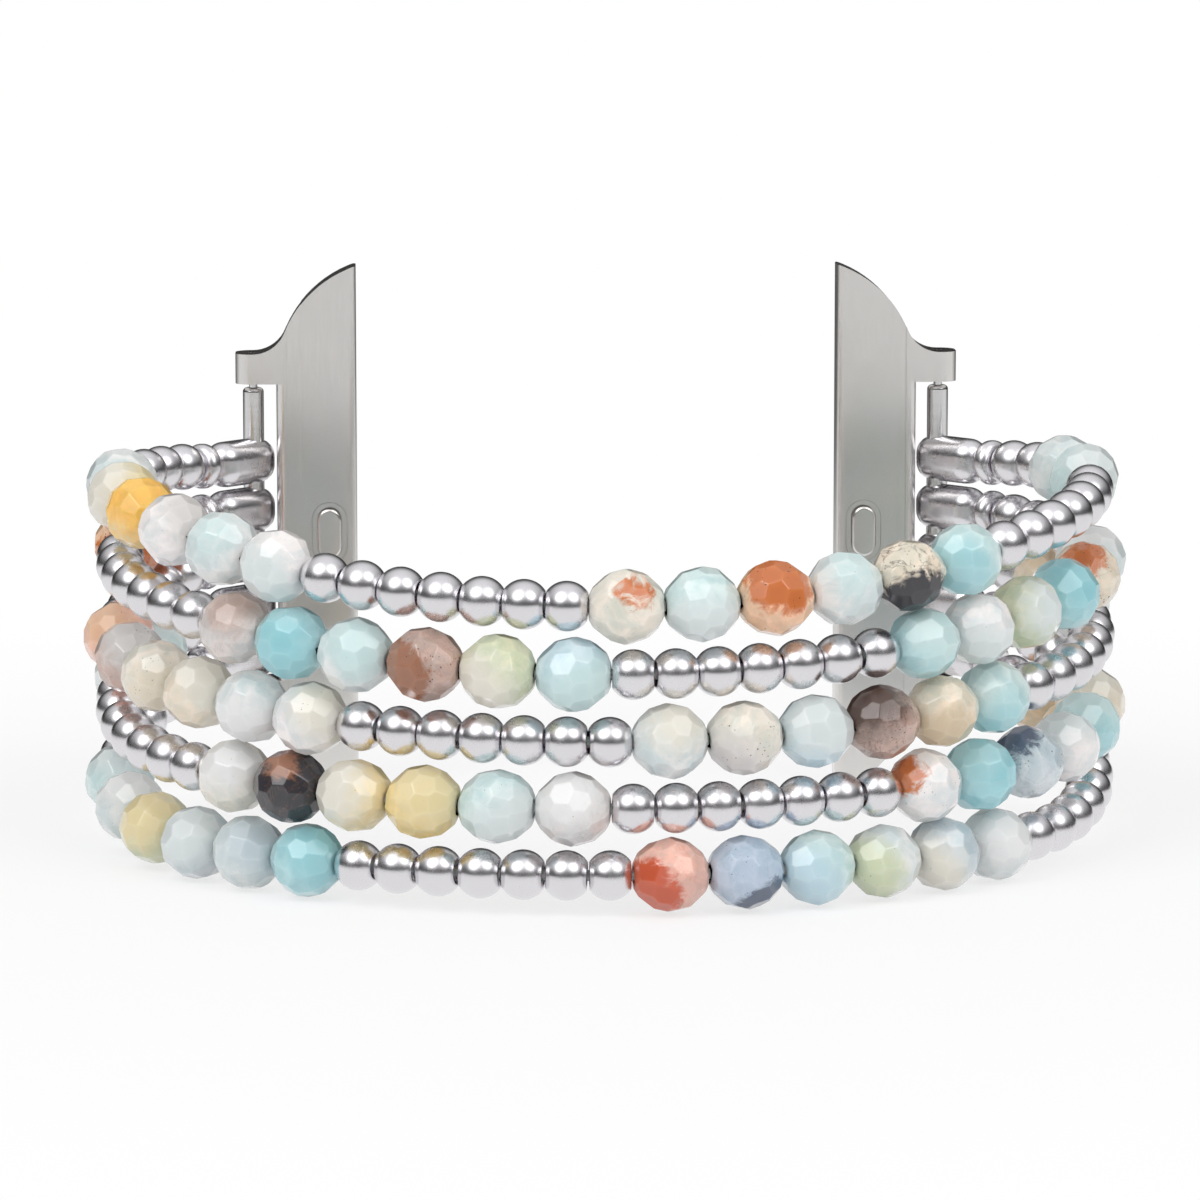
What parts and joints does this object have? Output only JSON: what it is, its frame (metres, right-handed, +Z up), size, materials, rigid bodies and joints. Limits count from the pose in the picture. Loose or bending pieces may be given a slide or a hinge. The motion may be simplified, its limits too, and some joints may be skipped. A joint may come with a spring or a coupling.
{
  "type": "watch strap",
  "caption": "Stretch watch band of faceted stone and polished steel beads on elastic strands, joined by end links and spring bars to slide-in case adapters",
  "frame": {"origin": "middle of the band's footprint on the floor, with the band standing on its edge", "axes": "+X runs from the left case adapter to the right one, +Y runs from the front of the loop to the spring bars, +Z is up and runs along the spring bars"},
  "size_m": [0.0602, 0.0414, 0.0321],
  "materials": {
    "satin_steel": "satin-polished stainless steel",
    "bar_steel": "drawn stainless steel",
    "mirror_steel": "mirror-polished stainless steel",
    "spring_steel": "bright spring wire",
    "gemstone": "faceted and polished mixed stone, waxy and half translucent",
    "elastic": "clear elastic bead cord"
  },
  "bodies": {
    "bottom_strand": {"strand_5_elastic_cord": "elastic", "strand_5_stone_beads": "gemstone", "strand_5_steel_beads": "mirror_steel", "strand_5_left_cover_ring": "mirror_steel", "strand_5_right_cover_ring": "mirror_steel", "strand_5_left_end_link": "mirror_steel", "strand_5_right_end_link": "mirror_steel"},
    "end_links_1": {"strand_1_left_end_link": "mirror_steel", "strand_1_right_end_link": "mirror_steel"},
    "strand_1": {"strand_1_elastic_cord": "elastic", "strand_1_stone_beads": "gemstone", "strand_1_steel_beads": "mirror_steel", "strand_1_left_cover_ring": "mirror_steel", "strand_1_right_cover_ring": "mirror_steel"},
    "end_links_2": {"strand_2_left_end_link": "mirror_steel", "strand_2_right_end_link": "mirror_steel"},
    "strand_2": {"strand_2_elastic_cord": "elastic", "strand_2_stone_beads": "gemstone", "strand_2_steel_beads": "mirror_steel", "strand_2_left_cover_ring": "mirror_steel", "strand_2_right_cover_ring": "mirror_steel"},
    "end_links_3": {"strand_3_left_end_link": "mirror_steel", "strand_3_right_end_link": "mirror_steel"},
    "strand_3": {"strand_3_elastic_cord": "elastic", "strand_3_stone_beads": "gemstone", "strand_3_steel_beads": "mirror_steel", "strand_3_left_cover_ring": "mirror_steel", "strand_3_right_cover_ring": "mirror_steel"},
    "end_links_4": {"strand_4_left_end_link": "mirror_steel", "strand_4_right_end_link": "mirror_steel"},
    "strand_4": {"strand_4_elastic_cord": "elastic", "strand_4_stone_beads": "gemstone", "strand_4_steel_beads": "mirror_steel", "strand_4_left_cover_ring": "mirror_steel", "strand_4_right_cover_ring": "mirror_steel"},
    "left_adapter": {"left_case_adapter": "satin_steel", "left_lock_plate": "satin_steel", "left_lock_spring": "spring_steel", "left_bar_tube": "bar_steel", "left_bar_spring": "spring_steel"},
    "left_lock_button": {"left_lock_button": "satin_steel"},
    "left_bar_upper_tip": {"left_bar_upper_tip": "bar_steel"},
    "left_bar_lower_tip": {"left_bar_lower_tip": "bar_steel"},
    "right_adapter": {"right_case_adapter": "satin_steel", "right_lock_plate": "satin_steel", "right_lock_spring": "spring_steel", "right_bar_tube": "bar_steel", "right_bar_spring": "spring_steel"},
    "right_lock_button": {"right_lock_button": "satin_steel"},
    "right_bar_upper_tip": {"right_bar_upper_tip": "bar_steel"},
    "right_bar_lower_tip": {"right_bar_lower_tip": "bar_steel"}
  },
  "joints": [
    {"name": "end_links_1_slide", "type": "slide", "parent": "bottom_strand", "child": "end_links_1", "axis": [0, 0, 1], "range_m": [0, 0.0031]},
    {"name": "end_links_2_slide", "type": "slide", "parent": "bottom_strand", "child": "end_links_2", "axis": [0, 0, 1], "range_m": [0, 0.00232]},
    {"name": "end_links_3_slide", "type": "slide", "parent": "bottom_strand", "child": "end_links_3", "axis": [0, 0, 1], "range_m": [0, 0.00155]},
    {"name": "end_links_4_slide", "type": "slide", "parent": "bottom_strand", "child": "end_links_4", "axis": [0, 0, 1], "range_m": [0, 0.000775]},
    {"name": "strand_1_swing", "type": "hinge", "parent": "end_links_1", "child": "strand_1", "pos_m": [0, 0.01769, 0.0203], "axis": [-1, 0, 0], "range_deg": [0, 6]},
    {"name": "strand_2_swing", "type": "hinge", "parent": "end_links_2", "child": "strand_2", "pos_m": [0, 0.01769, 0.01735], "axis": [-1, 0, 0], "range_deg": [0, 4.5]},
    {"name": "strand_3_swing", "type": "hinge", "parent": "end_links_3", "child": "strand_3", "pos_m": [0, 0.01769, 0.0144], "axis": [-1, 0, 0], "range_deg": [0, 3]},
    {"name": "strand_4_swing", "type": "hinge", "parent": "end_links_4", "child": "strand_4", "pos_m": [0, 0.01769, 0.01145], "axis": [-1, 0, 0], "range_deg": [0, 1.5]},
    {"name": "left_adapter_hinge", "type": "hinge", "parent": "bottom_strand", "child": "left_adapter", "pos_m": [-0.02065, 0.01931, 0.01605], "axis": [0, 0, -1], "range_deg": [-60, 40]},
    {"name": "right_adapter_hinge", "type": "hinge", "parent": "bottom_strand", "child": "right_adapter", "pos_m": [0.02065, 0.01931, 0.01605], "axis": [0, 0, 1], "range_deg": [-60, 40]},
    {"name": "left_lock_button_press", "type": "slide", "parent": "left_adapter", "child": "left_lock_button", "axis": [0, 1, 0], "range_m": [0, 0.0006], "stiffness_N_per_m": 300, "springref_m": -0.0008, "deforming": ["left_lock_spring"]},
    {"name": "left_bar_upper_tip_press", "type": "slide", "parent": "left_adapter", "child": "left_bar_upper_tip", "axis": [0, 0, -1], "range_m": [0, 0.0013], "stiffness_N_per_m": 300, "springref_m": -0.001, "deforming": ["left_bar_spring"]},
    {"name": "left_bar_lower_tip_press", "type": "slide", "parent": "left_adapter", "child": "left_bar_lower_tip", "axis": [0, 0, 1], "range_m": [0, 0.0013], "stiffness_N_per_m": 300, "springref_m": -0.001, "deforming": ["left_bar_spring"]},
    {"name": "right_lock_button_press", "type": "slide", "parent": "right_adapter", "child": "right_lock_button", "axis": [0, 1, 0], "range_m": [0, 0.0006], "stiffness_N_per_m": 300, "springref_m": -0.0008, "deforming": ["right_lock_spring"]},
    {"name": "right_bar_upper_tip_press", "type": "slide", "parent": "right_adapter", "child": "right_bar_upper_tip", "axis": [0, 0, -1], "range_m": [0, 0.0013], "stiffness_N_per_m": 300, "springref_m": -0.001, "deforming": ["right_bar_spring"]},
    {"name": "right_bar_lower_tip_press", "type": "slide", "parent": "right_adapter", "child": "right_bar_lower_tip", "axis": [0, 0, 1], "range_m": [0, 0.0013], "stiffness_N_per_m": 300, "springref_m": -0.001, "deforming": ["right_bar_spring"]}
  ],
  "couplings": [
    {"joint": "end_links_2_slide", "follows": "end_links_1_slide", "ratio": 0.75},
    {"joint": "strand_2_swing", "follows": "strand_1_swing", "ratio": 0.75},
    {"joint": "end_links_3_slide", "follows": "end_links_1_slide", "ratio": 0.5},
    {"joint": "strand_3_swing", "follows": "strand_1_swing", "ratio": 0.5},
    {"joint": "end_links_4_slide", "follows": "end_links_1_slide", "ratio": 0.25},
    {"joint": "strand_4_swing", "follows": "strand_1_swing", "ratio": 0.25}
  ]
}
